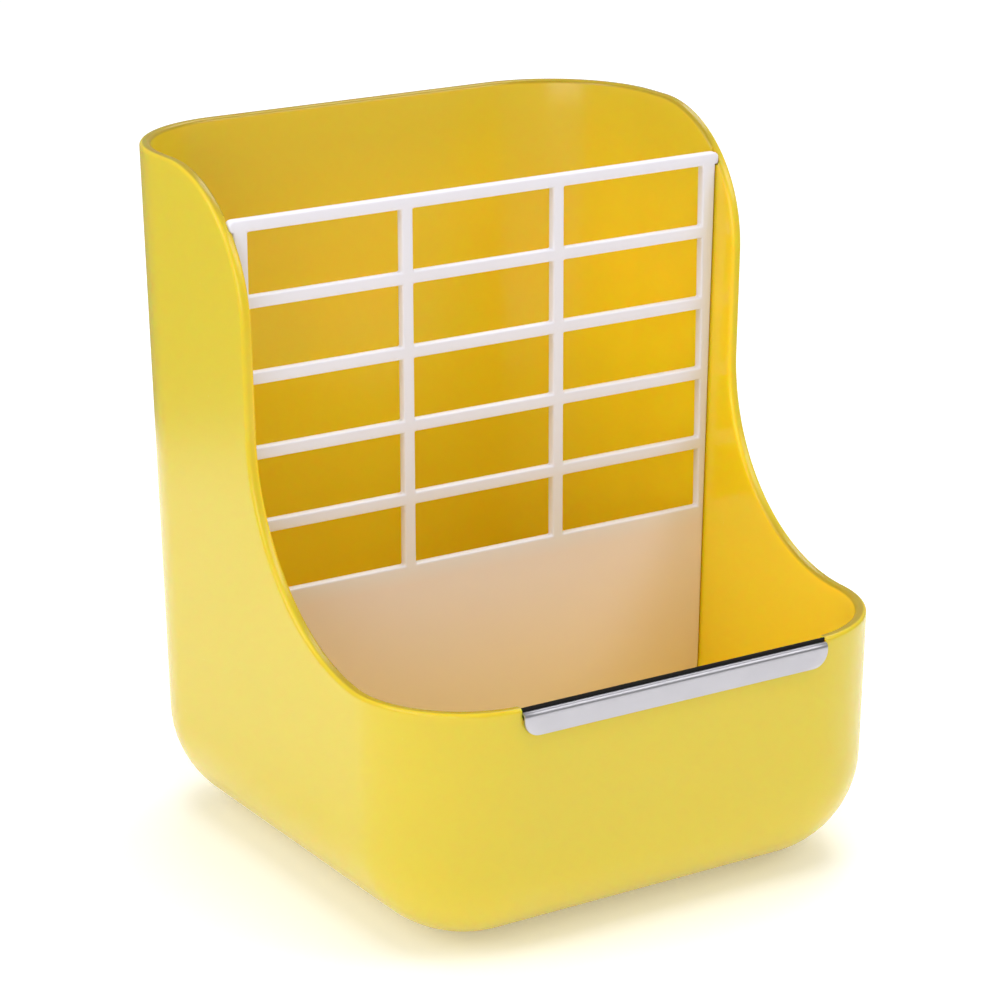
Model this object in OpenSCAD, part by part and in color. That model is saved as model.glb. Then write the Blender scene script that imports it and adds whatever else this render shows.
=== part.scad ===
// Two-in-one hay feeder and food bowl.
// Millimetres. The origin is the centre of the flat base, +Z is up and the low front wall faces -Y.

/* [Shell] */
// Outer width across the side walls at the top rim
shell_w = 142; // [130:1:180]
// Outer depth between the front and back walls, taken at the height of the top rim
shell_d = 148.5; // [140:0.5:190]
// Height of the top rim
shell_h = 170; // [160:1:200]
// Thickness of the walls and the floor
wall = 2.8; // [2.5:0.1:4]
// Outward lean of every wall in degrees
draft = 1.2; // [0.4:0.1:1.6]
// Radius of the upright corners at the top rim
corner_r = 31; // [26:0.5:40]
// Radius between the floor and the walls
foot_r = 27; // [15:0.5:30]

/* [Side sweep] */
// Height of the front rim
front_h = 62.6; // [55:0.2:75]
// Distance from the middle of the base back to the upright stretch of the side walls' front edge
edge_y = 2.5; // [-2:0.5:8]
// Radius of the rounded shoulder below the top rim
shoulder_r = 34; // [24:0.5:40]
// Radius of the hollow sweep above the front rim
sweep_r = 47.5; // [30:0.5:52]

/* [Grid] */
// Distance from the middle of the base back to the middle of the grid
grid_y = 11.8; // [9:0.1:16]
// Thickness of the grid from front to back
grid_t = 2.6; // [2:0.1:3.4]
// Distance from the top rim down to the grid's upper edge
grid_drop = 10.1; // [4:0.1:16]
// Height of the top bar
top_bar = 3.1; // [2.6:0.1:5]
// Height of every other bar
bar_h = 3; // [2:0.1:4]
// Distance between the middles of neighbouring bars
bar_pitch = 18.3; // [16:0.1:19]
// Rows of windows
window_rows = 5; // [3:1:5]
// Width of the two middle stiles
stile_w = 3; // [2:0.1:5]
// Distance between the middles of the two middle stiles
stile_pitch = 42.6; // [36:0.2:46]
// Width of the outer stiles where they meet the panel, their narrowest place
side_stile_w = 1.9; // [1:0.1:3]
// Gap between the grid and the shell's walls
grid_gap = 0.3; // [0.2:0.1:1]
// Gap between the grid and the floor
grid_foot_gap = 0.2; // [0.1:0.05:0.5]
// Distance that the ends of the top bar reach over the inner edge of the rim
rest_reach = 0.6; // [0.4:0.1:1]
// Gap around the ends of the top bar in their seats
rest_gap = 0.2; // [0.1:0.05:0.4]
// Radius of the top bar's upper corners
rest_corner_r = 1.3; // [0.6:0.1:2]

/* [Floor ribs] */
// Length of each floor rib
rib_l = 26; // [15:1:30]
// Thickness of each floor rib
rib_t = 2; // [1.5:0.1:3]
// Height of each floor rib above the floor
rib_h = 9; // [5:0.5:12]
// Distance from the middle of the base to the middle of each rib
rib_x = 28; // [20:0.5:30]
// Gap between a rib and the grid
rib_gap = 0.4; // [0.3:0.05:0.6]

/* [Bite guard] */
// Length of the steel strip along the front rim
guard_l = 84; // [60:1:90]
// Distance from the rim down to the top of the steel
guard_sink = 0.9; // [0.6:0.1:1.2]
// Height of the strip's front face
guard_drop = 5.8; // [5:0.1:12]
// Thickness of the steel
guard_t = 0.6; // [0.4:0.05:0.8]
// Outer radius of the fold over the rim
guard_bend = 1.2; // [1:0.05:1.6]
// Length of the flat lip behind the fold
guard_lip = 0.2; // [0.1:0.05:0.6]
// Radius of the strip's lower corners
guard_corner_r = 4; // [1:0.1:4.5]
// Thickness of the liner behind the steel
liner_t = 0.4; // [0.3:0.05:0.6]
// Thickness of the liner under the fold
liner_top_t = 0.6; // [0.4:0.05:1]
// Width of the liner's level crest behind the fold
liner_crest = 0.35; // [0.2:0.05:0.6]
// Distance that the liner's back edge lies below its crest
liner_fall = 1; // [0.6:0.1:1.2]
// Distance that the liner stays back from the edges of the steel and the rim
liner_gap = 0.1; // [0.05:0.05:0.2]

/* [Cage clamps] */
// Distance between the two clamps
clamp_pitch = 52; // [44:1:60]
// Height of the clamps above the base
clamp_z = 118; // [90:1:130]
// Width of a boss and its plate
boss_w = 22; // [18:0.5:26]
// Height of a boss and its plate
boss_h = 30; // [24:0.5:40]
// Distance that a boss stands out of the back wall at the clamp's height
boss_reach = 6.8; // [6:0.1:9]
// Radius of the bosses' and plates' corners
boss_corner_r = 4; // [2:0.1:6]
// Diameter of the stud's thread
stud_d = 6; // [5:0.5:8]
// Depth of the stud in its boss
stud_seat = 5.5; // [4:0.1:5.8]
// Chamfer on the stud's tip
stud_chamfer = 0.8; // [0.4:0.1:1.2]
// Gap left for the cage wire between boss and plate
wire_gap = 5; // [4.6:0.1:6]
// Distance that a plate can back off from where it stands
clamp_open = 4; // [3:0.1:5]
// Thickness of a clamp plate
plate_t = 3.5; // [2.5:0.1:5]
// Height of the ribs that bear on the wire
plate_rib_h = 0.8; // [0.5:0.1:1.2]
// Width of the ribs that bear on the wire
plate_rib_w = 2; // [1:0.1:3]
// Gap between a plate and its stud
plate_bore_gap = 0.08; // [0.04:0.01:0.1]
// Length of a knob
knob_l = 10.5; // [9:0.1:14]
// Thickness of a knob's core around the corners of its nut
knob_wall = 1.7; // [1.2:0.1:3]
// Diameter of the round lobes that the fingers grip
knob_lobe_d = 5; // [3:0.1:7]
// Number of lobes
knob_lobes = 6; // [4:1:8]
// Gap between a knob and its plate
knob_gap = 0.2; // [0.1:0.05:0.3]
// Gap between a knob and its stud
knob_bore_gap = 0.3; // [0.3:0.05:0.6]
// Width of a nut across its flats
nut_flats = 10; // [9:0.1:12]
// Thickness of a nut
nut_t = 5; // [4:0.1:6.5]
// Gap between a nut and its stud, which stands for the thread
nut_bore_gap = 0.05; // [0.03:0.01:0.08]
// Gap around a nut in its knob
nut_seat_gap = 0.05; // [0.02:0.01:0.1]

/* [Hidden] */
$fn = 96;

// Overlap that makes a cut run clear of a face
clear = 1;
// Smallest corner radius that is left on the flat base
base_corner_min = 0.5;
// Depth that ribs and bosses are rooted in the wall that carries them
root = wall / 2;

// Corner axes, which the walls keep at every height
axis_x = shell_w / 2 - corner_r;
axis_y = shell_d / 2 - corner_r;
lean = tan(draft);
// Reach of the outer skin from a corner axis
function reach(z) = corner_r - (shell_h - z) * lean;
foot_limit = (reach(0) - base_corner_min) / (1 / cos(draft) - lean);
foot_fillet = min(foot_r, foot_limit);
foot_axis = reach(foot_fillet) - foot_fillet / cos(draft);
// Horizontal distance from the outer skin to a skin set in from it
function set_in(inset) = inset / cos(draft);
function outer_y(z) = axis_y + reach(z);
function inner_x(z) = axis_x + reach(z) - set_in(wall);

// Side sweep
shoulder_y = edge_y + shoulder_r;
shoulder_z = shell_h - shoulder_r;
sweep_y = edge_y - sweep_r;
sweep_z = front_h + sweep_r;

// Grid
grid_top = shell_h - grid_drop;
grid_bottom = wall + grid_foot_gap;
grid_inset = wall + grid_gap;
function bar_z(k) = grid_top - top_bar / 2 - k * bar_pitch;
function grid_x(z) = axis_x + reach(z) - set_in(grid_inset);
panel_top = bar_z(window_rows) + bar_h / 2;
window_inner = (stile_pitch - stile_w) / 2;
window_outer = grid_x(panel_top) - side_stile_w;
rest_z = grid_top - top_bar;
rest_tip = inner_x(grid_top) + rest_reach;
rest_corner = min(rest_corner_r, top_bar * 0.45);
rest_side = top_bar - rest_corner;

// Bite guard, drawn in a frame that leans with the front wall and has the top of the steel at zero height
guard_face = liner_t + guard_t;
guard_corner = min(guard_corner_r, guard_drop - guard_bend - guard_t);
guard_square = guard_drop - guard_corner;
rim_notch = guard_sink + guard_t + liner_top_t;
bend_y = guard_bend - guard_face;
lip_y = bend_y + guard_lip;

// Cage clamps, as places along Y
boss_start = outer_y(clamp_z - boss_h / 2) - root;
boss_face = outer_y(clamp_z) + boss_reach;
stud_start = boss_face - stud_seat;
plate_start = boss_face + wire_gap;
knob_start = plate_start + plate_t + knob_gap;
stud_tip = knob_start + nut_t + clamp_open;
stud_r = stud_d / 2;
nut_r = nut_flats / 2 / cos(30);
nut_seat_r = nut_r + nut_seat_gap;
knob_core_r = nut_seat_r + knob_wall;

yellow = "gold";
white = "whitesmoke";
steel = "silver";
black = "black";

// Extrudes a section drawn in Y and Z along X
module along_x(length) {
    rotate([90, 0, 90]) linear_extrude(length, center = true) children();
}

// Extrudes a section drawn in X and Z along Y
module along_y(length) {
    rotate([90, 0, 0]) linear_extrude(length, center = true) children();
}

// Rectangle with round corners, centred
module round_rect(w, h, r) {
    square([w - 2 * r, h], center = true);
    square([w, h - 2 * r], center = true);
    for (sx = [-1, 1], sy = [-1, 1])
        translate([sx * (w / 2 - r), sy * (h / 2 - r)])
            circle(r);
}

// Half of the tub's upright section, drawn outwards from a corner axis and set in from the outer skin
module half_section(inset, top) {
    fillet = foot_fillet - inset;
    polygon([
        [0, inset],
        [foot_axis, inset],
        [foot_axis + fillet * cos(draft), foot_fillet - fillet * sin(draft)],
        [reach(top) - set_in(inset), top],
        [0, top]
    ]);
    intersection() {
        translate([foot_axis, foot_fillet]) circle(fillet);
        translate([foot_axis, inset]) square(fillet);
    }
}

// Whole upright section between two corner axes that stand either side of the middle
module full_section(axis, inset, top) {
    for (side = [0, 1])
        mirror([side, 0])
            translate([axis, 0])
                half_section(inset, top);
    translate([-axis, inset]) square([2 * axis, top - inset]);
}

// Solid tub with leaning walls, round corners and a rounded foot
module tub(inset, top) {
    for (side = [0, 1], end = [0, 1])
        mirror([side, 0, 0])
            mirror([0, end, 0])
                translate([axis_x, axis_y, 0])
                    rotate_extrude(angle = 90)
                        half_section(inset, top);
    along_x(2 * axis_x) full_section(axis_y, inset, top);
    along_y(2 * axis_y) full_section(axis_x, inset, top);
}

// Outline of the side walls, drawn in Y and Z
module sweep_outline() {
    translate([-shell_d, -clear]) square([2 * shell_d, front_h + clear]);
    translate([edge_y, -clear]) square([shell_d, shoulder_z + clear]);
    translate([shoulder_y, -clear]) square([shell_d, shell_h + clear]);
    translate([shoulder_y, shoulder_z]) circle(shoulder_r);
    difference() {
        translate([sweep_y, front_h - clear]) square(sweep_r + clear);
        translate([sweep_y, sweep_z]) circle(sweep_r);
    }
}

// Places children on the front rim's outer edge, leaning with the front wall
module at_front_rim() {
    translate([0, -outer_y(front_h), front_h]) rotate([draft, 0, 0]) children();
}

// Places children on a clamp's axis at a place along Y, with +Z pointing back
module at_clamp(side, y) {
    translate([side * clamp_pitch / 2, y, clamp_z]) rotate([-90, 0, 0]) children();
}

// Pads on the back wall that the cage wire is clamped against
module bosses() {
    for (side = [-1, 1])
        at_clamp(side, boss_start)
            linear_extrude(boss_face - boss_start)
                round_rect(boss_w, boss_h, boss_corner_r);
}

// Ribs that hold the foot of the grid from the front and from behind
module floor_ribs() {
    offset_y = (grid_t + rib_t) / 2 + rib_gap;
    for (side = [-1, 1], face = [-1, 1])
        translate([side * rib_x - rib_l / 2, grid_y + face * offset_y - rib_t / 2, wall - root])
            cube([rib_l, rib_t, rib_h + root]);
}

// Seats in the inner edge of the side rims that the ends of the grid's top bar drop into from above
module rest_seats() {
    start = inner_x(rest_z) - wall;
    width = grid_t + 2 * rest_gap;
    for (side = [0, 1])
        mirror([side, 0, 0])
            translate([start, grid_y - width / 2, rest_z - rest_gap])
                cube([rest_tip + rest_gap - start, width, shell_h - rest_z]);
}

// Step in the front rim that the strip and its liner lie in
module rim_step() {
    length = guard_l + 2 * liner_gap;
    at_front_rim()
        translate([-length / 2, -clear, -rim_notch])
            cube([length, wall + 2 * clear, rim_notch + clear]);
}

module shell() color(yellow)
    difference() {
        union() {
            intersection() {
                difference() {
                    tub(0, shell_h);
                    tub(wall, shell_h + clear);
                }
                along_x(shell_w + 2 * clear) sweep_outline();
            }
            bosses();
            floor_ribs();
        }
        rest_seats();
        rim_step();
        for (side = [-1, 1])
            at_clamp(side, stud_start) cylinder(r = stud_r, h = stud_seat + clear);
    }

// Windows between neighbouring bars and stiles, drawn in X and Z. The top bar closes the first row
module windows() {
    for (row = [0 : window_rows - 1]) {
        top = row == 0 ? grid_top : bar_z(row) - bar_h / 2;
        bottom = bar_z(row + 1) + bar_h / 2;
        translate([-window_inner, bottom]) square([2 * window_inner, top - bottom]);
        for (side = [0, 1])
            mirror([side, 0])
                translate([window_inner + stile_w, bottom])
                    square([window_outer - window_inner - stile_w, top - bottom]);
    }
}

// Top bar with round upper corners, drawn in X and Z. Its ends rest on the rim
module top_rail() {
    for (side = [0, 1])
        mirror([side, 0]) {
            translate([0, rest_z]) square([rest_tip, rest_side]);
            translate([0, rest_z + rest_side / 2])
                square([rest_tip - rest_corner, top_bar - rest_side / 2]);
            translate([rest_tip - rest_corner, grid_top - rest_corner]) circle(rest_corner);
        }
}

module hay_grid() color(white)
    translate([0, grid_y, 0])
        along_y(grid_t) {
            difference() {
                intersection() {
                    full_section(axis_x, grid_inset, rest_z + rest_side / 4);
                    translate([-shell_w, grid_bottom]) square([2 * shell_w, grid_top]);
                }
                windows();
            }
            top_rail();
        }

module bite_guard() color(steel)
    at_front_rim() translate([0, 0, -guard_sink]) {
        // Front face with round lower corners
        translate([0, -liner_t, 0])
            rotate([90, 0, 0])
                linear_extrude(guard_t) {
                    translate([-guard_l / 2, -guard_square])
                        square([guard_l, guard_square - guard_bend]);
                    translate([guard_corner - guard_l / 2, -guard_drop])
                        square([guard_l - 2 * guard_corner, guard_corner]);
                    intersection() {
                        translate([-guard_l / 2, -guard_drop]) square([guard_l, guard_corner]);
                        for (side = [-1, 1])
                            translate([side * (guard_l / 2 - guard_corner), -guard_square])
                                circle(guard_corner);
                    }
                }
        // Fold and lip over the rim
        along_x(guard_l) {
            intersection() {
                translate([bend_y, -guard_bend])
                    difference() {
                        circle(guard_bend);
                        circle(guard_bend - guard_t);
                    }
                translate([-guard_face, -guard_bend]) square(guard_bend);
            }
            translate([bend_y, -guard_t]) square([guard_lip, guard_t]);
        }
    }

module guard_liner() color(black)
    at_front_rim() translate([0, 0, -guard_sink]) {
        along_x(guard_l)
            polygon([
                [-liner_t, -guard_square],
                [-liner_t, -guard_bend],
                [bend_y, -guard_t],
                [lip_y, -guard_t],
                [lip_y, guard_sink],
                [lip_y + liner_crest, guard_sink],
                [wall - liner_gap, guard_sink - liner_fall],
                [wall - liner_gap, guard_sink - rim_notch],
                [0, guard_sink - rim_notch],
                [0, -guard_square]
            ]);
        // Lower part, between the round corners of the steel
        along_x(guard_l - 2 * guard_corner)
            translate([-liner_t, liner_gap - guard_drop])
                square([liner_t, guard_corner - liner_gap]);
    }

module clamp_stud(side) color(steel)
    at_clamp(side, stud_start) {
        length = stud_tip - stud_start;
        cylinder(r = stud_r, h = length - stud_chamfer);
        translate([0, 0, length - stud_chamfer])
            cylinder(r1 = stud_r, r2 = stud_r - stud_chamfer, h = stud_chamfer);
    }

module clamp_plate(side) color(white)
    at_clamp(side, plate_start)
        difference() {
            union() {
                linear_extrude(plate_t) round_rect(boss_w, boss_h, boss_corner_r);
                for (end = [-1, 1])
                    translate([0, end * (boss_h / 2 - boss_corner_r), -plate_rib_h])
                        linear_extrude(plate_rib_h + plate_t / 2)
                            square([boss_w - 2 * boss_corner_r, plate_rib_w], center = true);
            }
            translate([0, 0, -clear]) cylinder(r = stud_r + plate_bore_gap, h = plate_t + 2 * clear);
        }

module clamp_knob(side) color(white)
    at_clamp(side, knob_start)
        difference() {
            union() {
                cylinder(r = knob_core_r, h = knob_l);
                for (lobe = [0 : knob_lobes - 1])
                    rotate(lobe * 360 / knob_lobes)
                        translate([knob_core_r, 0, 0])
                            cylinder(d = knob_lobe_d, h = knob_l);
            }
            translate([0, 0, -clear]) cylinder(r = stud_r + knob_bore_gap, h = knob_l + 2 * clear);
            translate([0, 0, -clear]) cylinder(r = nut_seat_r, h = nut_t + clear, $fn = 6);
        }

module clamp_nut(side) color(steel)
    at_clamp(side, knob_start)
        difference() {
            cylinder(r = nut_r, h = nut_t, $fn = 6);
            translate([0, 0, -clear]) cylinder(r = stud_r + nut_bore_gap, h = nut_t + 2 * clear);
        }

shell();
hay_grid();
bite_guard();
guard_liner();
clamp_stud(-1);  // clamp_stud_left
clamp_stud(1);  // clamp_stud_right
clamp_plate(-1);  // clamp_plate_left
clamp_plate(1);  // clamp_plate_right
clamp_knob(-1);  // clamp_knob_left
clamp_knob(1);  // clamp_knob_right
clamp_nut(-1);  // clamp_nut_left
clamp_nut(1);  // clamp_nut_right
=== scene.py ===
import math

import bmesh
import bpy
from mathutils import Matrix, Vector


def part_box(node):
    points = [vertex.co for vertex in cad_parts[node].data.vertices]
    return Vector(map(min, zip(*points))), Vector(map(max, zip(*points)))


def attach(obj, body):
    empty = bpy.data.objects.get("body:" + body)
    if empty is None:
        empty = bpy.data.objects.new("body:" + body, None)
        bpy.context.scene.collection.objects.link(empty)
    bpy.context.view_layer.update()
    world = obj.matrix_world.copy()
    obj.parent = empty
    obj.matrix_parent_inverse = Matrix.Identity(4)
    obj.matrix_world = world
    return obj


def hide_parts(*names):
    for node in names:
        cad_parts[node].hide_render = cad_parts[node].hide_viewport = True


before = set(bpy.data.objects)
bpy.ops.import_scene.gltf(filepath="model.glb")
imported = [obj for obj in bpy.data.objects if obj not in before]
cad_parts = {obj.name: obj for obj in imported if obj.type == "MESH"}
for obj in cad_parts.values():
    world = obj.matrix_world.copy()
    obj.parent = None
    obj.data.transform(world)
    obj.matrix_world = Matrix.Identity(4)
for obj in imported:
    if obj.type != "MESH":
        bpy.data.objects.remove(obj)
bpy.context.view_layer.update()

# Sizes are in millimetres, as in the part's source, and meshes are in metres
MM = 0.001

# Shell
WALL = 2.8
DRAFT = math.radians(1.2)
CORNER_R = 31
FOOT_R = 27
FRONT_H = 62.6
EDGE_Y = 2.5
SHOULDER_R = 34
SWEEP_R = 47.5
SHELL_D = 148.5
SHELL_W = 2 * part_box("shell")[1][0] / MM
SHELL_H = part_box("shell")[1][2] / MM
# Radii on the outer and the inner edge of the rim
RIM_OUTER_R = 1.0
RIM_INNER_R = 1.0
# Distance that the wall's columns lean back under the upright stretch of the side edge
COLUMN_LEAN = 24
# Overlap that makes a cut run clear of a face
CLEAR = 1
# Heights between which the rim's painted shade fades in on faces that look up, so that it lies on the rim
# alone
RIM_SHADE_START = 50
RIM_SHADE_ABOVE = 58
# Upward share of a face's direction at which the rim's painted shade starts and is full. Looking inwards adds
# to that share, by this factor times the face's distance from the middle in metres
RIM_SHADE_FROM = 0.6
RIM_SHADE_FULL = 0.95
RIM_SHADE_INWARD = 6
# Distance from the middle beyond which faces that look inwards have none of the outside's darker, paler tone,
# which is painted shade
OUTSIDE_SHADE_FADE = 40
# Height from which painted shade darkens the inside, up to the top rim
INSIDE_SHADE_START = 100
# Divisions of the mesh along the sweep, the shoulder, the straight edges, the corners, the walls and the foot
SWEEP_STEPS = 40
SHOULDER_STEPS = 32
UPRIGHT_STEPS = 10
TOP_STEPS = 3
FLAT_STEPS = 10
CORNER_STEPS = 30
WALL_STEPS = 20
FOOT_STEPS = 18
RIM_OUTER_STEPS = 8
RIM_INNER_STEPS = 4

# Grid
GRID_Y = 11.8
GRID_T = 2.6
GRID_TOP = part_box("hay_grid")[1][2] / MM
TOP_BAR = 3.1
BAR_H = 3
BAR_PITCH = 18.3
WINDOW_ROWS = 5
STILE_W = 3
STILE_PITCH = 42.6
SIDE_STILE_W = 1.9
GRID_GAP = 0.3
GRID_EDGE_R = 0.55
# Distance below the panel's upper edge over which a warm tint fades in, painted light thrown from the yellow
# tub
PANEL_BOUNCE_FADE = 5
REST_REACH = 0.6
REST_GAP = 0.2
REST_CORNER_R = 1.3
REST_EDGE_R = 0.5
# Hair's breadth that the rests are set in from the top bar's faces
REST_HAIR = 0.04
REST_STEPS = 10
GRID_FOOT_STEPS = 24

# Floor ribs
RIB_L = 26
RIB_T = 2
RIB_H = 9
RIB_X = 28
RIB_GAP = 0.4
RIB_EDGE_R = 0.6

# Bite guard
GUARD_L = 84
GUARD_SINK = 0.9
GUARD_DROP = 5.8
GUARD_T = 0.6
GUARD_BEND = 1.2
GUARD_LIP = 0.2
GUARD_CORNER = 4
GUARD_EDGE_R = 0.12
GUARD_CORNER_STEPS = 10
GUARD_BEND_STEPS = 8
GUARD_COLUMNS = 24
LINER_T = 0.4
LINER_TOP_T = 0.6
LINER_CREST = 0.35
LINER_FALL = 1
LINER_GAP = 0.1
LINER_EDGE_R = 0.12
LINER_OVERLAP = 0.4

# Cage clamps
CLAMP_X = 26
CLAMP_Z = 118
BOSS_W = 22
BOSS_H = 30
BOSS_REACH = 6.8
BOSS_CORNER_R = 4
BOSS_EDGE_R = 0.8
BOSS_FLARE_R = 1.4
STUD_R = 3
STUD_SEAT = 5.5
STUD_CHAMFER = 0.8
# Angle in degrees above which the stud's edges are shaded sharp
STUD_SHARP = 50
THREAD_PITCH = 1
THREAD_DEPTH = 0.55
# Slope of the thread's flanks and the flat that they leave on its crest, as shares of the depth and the pitch
THREAD_SLOPE = 2.4
THREAD_CREST = 0.15
THREAD_POINTS = 36
THREAD_STEPS = 8
WIRE_GAP = 5
CLAMP_OPEN = 4
PLATE_T = 3.5
PLATE_EDGE_R = 0.9
PLATE_EDGE_STEPS = 4
PLATE_RIB_H = 0.8
PLATE_RIB_W = 2
PLATE_RIB_EDGE_R = 0.35
PLATE_BORE_GAP = 0.08
KNOB_L = 10.5
KNOB_WALL = 1.7
KNOB_LOBE_R = 2.5
KNOB_LOBES = 6
KNOB_EDGE_R = 1.5
KNOB_EDGE_STEPS = 6
KNOB_FOOT_R = 0.4
KNOB_FOOT_STEPS = 3
# Width of the blend between core and lobes
KNOB_BLEND = 0.35
# Face of the knob: its fall towards the dish, and the dish's distance from the core's edge, slope and depth
KNOB_FALL = 0.05
KNOB_DISH_INSET = 2
KNOB_DISH_SLOPE = 0.6
KNOB_DISH = 0.5
KNOB_POINTS = 180
KNOB_GAP = 0.2
KNOB_BORE_GAP = 0.3
NUT_FLATS = 10
NUT_T = 5
NUT_SEAT_GAP = 0.05

# Camera at the photograph's view: angles in degrees, lengths in millimetres, pixels of a 1000 pixel image
CAMERA_AZIMUTH = -32.247
CAMERA_ELEVATION = 18.067
CAMERA_ROLL = -0.123
CAMERA_DISTANCE = 843.7
CAMERA_FOCUS_PIXELS = 3467.6
CAMERA_TARGET_Z = 70.68
TARGET_PIXEL = (508.69, 552.41)
IMAGE_PIXELS = 1000
SENSOR_MM = 36

NEAR_CLIP_M = 0.01

# Stage: reach of the floor's near part and of the whole floor, and the floor's glow, as of a light table
TABLE_R = 370
FLOOR_R = 4000
FLOOR_POINTS = 96
FLOOR_TONE = (0.93, 0.93, 0.93)
FLOOR_ROUGHNESS = 0.9
FLOOR_GLOW = 0.22
ROOM_STRENGTH = 0.28

# Places worked out from the sizes
COS_DRAFT = math.cos(DRAFT)
SIN_DRAFT = math.sin(DRAFT)
LEAN = math.tan(DRAFT)
AXIS_X = SHELL_W / 2 - CORNER_R
AXIS_Y = SHELL_D / 2 - CORNER_R
SHOULDER_Y = EDGE_Y + SHOULDER_R
SHOULDER_Z = SHELL_H - SHOULDER_R
SWEEP_Y = EDGE_Y - SWEEP_R
SWEEP_Z = FRONT_H + SWEEP_R


def reach(z):
    """Distance from a corner axis to the outer skin at a height."""
    return CORNER_R - (SHELL_H - z) * LEAN


def outer_y(z):
    return AXIS_Y + reach(z)


def inner_x(z):
    return AXIS_X + reach(z) - WALL / COS_DRAFT


def grid_x(z):
    return AXIS_X + reach(z) - (WALL + GRID_GAP) / COS_DRAFT


FOOT_AXIS = reach(FOOT_R) - FOOT_R / COS_DRAFT
PANEL_TOP = GRID_TOP - TOP_BAR / 2 - WINDOW_ROWS * BAR_PITCH + BAR_H / 2
WINDOW_INNER = (STILE_PITCH - STILE_W) / 2
WINDOW_OUTER = grid_x(PANEL_TOP) - SIDE_STILE_W
REST_Z = GRID_TOP - TOP_BAR
REST_TIP = inner_x(GRID_TOP) + REST_REACH
RIM_NOTCH = GUARD_SINK + GUARD_T + LINER_TOP_T
BOSS_FACE = outer_y(CLAMP_Z) + BOSS_REACH
STUD_START = BOSS_FACE - STUD_SEAT
PLATE_START = BOSS_FACE + WIRE_GAP
KNOB_START = PLATE_START + PLATE_T + KNOB_GAP
STUD_TIP = KNOB_START + NUT_T + CLAMP_OPEN
NUT_SEAT_R = NUT_FLATS / 2 / math.cos(math.radians(30)) + NUT_SEAT_GAP
KNOB_CORE_R = NUT_SEAT_R + KNOB_WALL


def steps(start, end, count):
    """Evenly spaced values from start to end, both included."""
    return [start + (end - start) * k / count for k in range(count + 1)]


def lerp(a, b, s):
    return a + (b - a) * s


def smoothstep(s):
    return s * s * (3 - 2 * s)


# Meshes

def new_mesh(name, points, faces):
    """Mesh from points in millimetres, with its normals made to face outwards."""
    mesh = bpy.data.meshes.new(name)
    mesh.from_pydata([(x * MM, y * MM, z * MM) for x, y, z in points], [], faces)
    made = bmesh.new()
    made.from_mesh(mesh)
    bmesh.ops.recalc_face_normals(made, faces=made.faces)
    made.to_mesh(mesh)
    made.free()
    return mesh


def loft(rings, loop=False):
    """Points and faces of a skin over rings of equal length, with its ends capped or, in a loop, joined."""
    count = len(rings[0])
    points = [p for ring in rings for p in ring]
    pairs = list(zip(range(len(rings)), range(1, len(rings))))
    if loop:
        pairs.append((len(rings) - 1, 0))
    faces = []
    for a, b in pairs:
        for j in range(count):
            k = (j + 1) % count
            faces.append((a * count + j, a * count + k, b * count + k, b * count + j))
    if not loop:
        last = (len(rings) - 1) * count
        faces.append(tuple(reversed(range(count))))
        faces.append(tuple(range(last, last + count)))
    return points, faces


def bevelled(mesh, width, segments=3, angle=30):
    """Rounds every edge of a mesh that turns more than the angle."""
    made = bmesh.new()
    made.from_mesh(mesh)
    limit = math.radians(angle)
    edges = [e for e in made.edges if len(e.link_faces) == 2 and e.calc_face_angle(0) > limit]
    bmesh.ops.bevel(made, geom=edges, offset=width * MM, offset_type="OFFSET", segments=segments, profile=0.5,
                    affect="EDGES", clamp_overlap=True)
    bmesh.ops.recalc_face_normals(made, faces=made.faces)
    made.to_mesh(mesh)
    made.free()
    return mesh


def prism(name, outline, place, start, end):
    """Extrusion of a flat outline. place turns an outline point and a length into a point in space."""
    rings = [[place(p, start) for p in outline], [place(p, end) for p in outline]]
    return new_mesh(name, *loft(rings))


def along_x(point, length):
    return length, point[0], point[1]


def along_y(point, length):
    return point[0], length, point[1]


def soft_box(name, low, high, radius):
    """Box with rounded edges between two corners."""
    outline = [(low[1], low[2]), (high[1], low[2]), (high[1], high[2]), (low[1], high[2])]
    return bevelled(prism(name, outline, along_x, low[0], high[0]), radius)


def combined(mesh, others, operation):
    """Result of a boolean operation between a mesh and some closed meshes, which are used up."""
    target = bpy.data.objects.new(mesh.name, mesh)
    bpy.context.scene.collection.objects.link(target)
    for other in others:
        tool = bpy.data.objects.new(other.name, other)
        bpy.context.scene.collection.objects.link(tool)
        modifier = target.modifiers.new("combine", "BOOLEAN")
        modifier.operation = operation
        modifier.solver = "EXACT"
        modifier.object = tool
        graph = bpy.context.evaluated_depsgraph_get()
        result = bpy.data.meshes.new_from_object(target.evaluated_get(graph))
        target.modifiers.remove(modifier)
        old = target.data
        target.data = result
        result.name = mesh.name
        bpy.data.objects.remove(tool)
        bpy.data.meshes.remove(other)
        if old != mesh:
            bpy.data.meshes.remove(old)
    made = target.data
    bpy.data.objects.remove(target)
    return made


def add_piece(name, mesh, body, material, replaced, sharp=35):
    """Object that rides on a body, takes a material slot and stands for a CAD node."""
    for face in mesh.polygons:
        face.use_smooth = True
    mesh.set_sharp_from_angle(angle=math.radians(sharp))
    mesh.materials.clear()
    mesh.materials.append(material)
    piece = bpy.data.objects.new(name, mesh)
    bpy.context.scene.collection.objects.link(piece)
    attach(piece, body)
    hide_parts(replaced)


# Materials

# Limits of the noise that makes patches and scuffs, and of the sharpness that wears an edge
PATCH_LIMITS = (0.3, 0.7)
SCUFF_LIMITS = (0.45, 0.75)
SCUFF_STRETCH = (1, 6, 1)
SCUFF_DETAIL = 6
SCUFF_ROUGHNESS = 0.7
WEAR_LIMITS = (0.52, 0.62)
WEAR_SHARE = 0.5
# Waves per metre of a moulded face
WAVE_SCALE = 45


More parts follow.
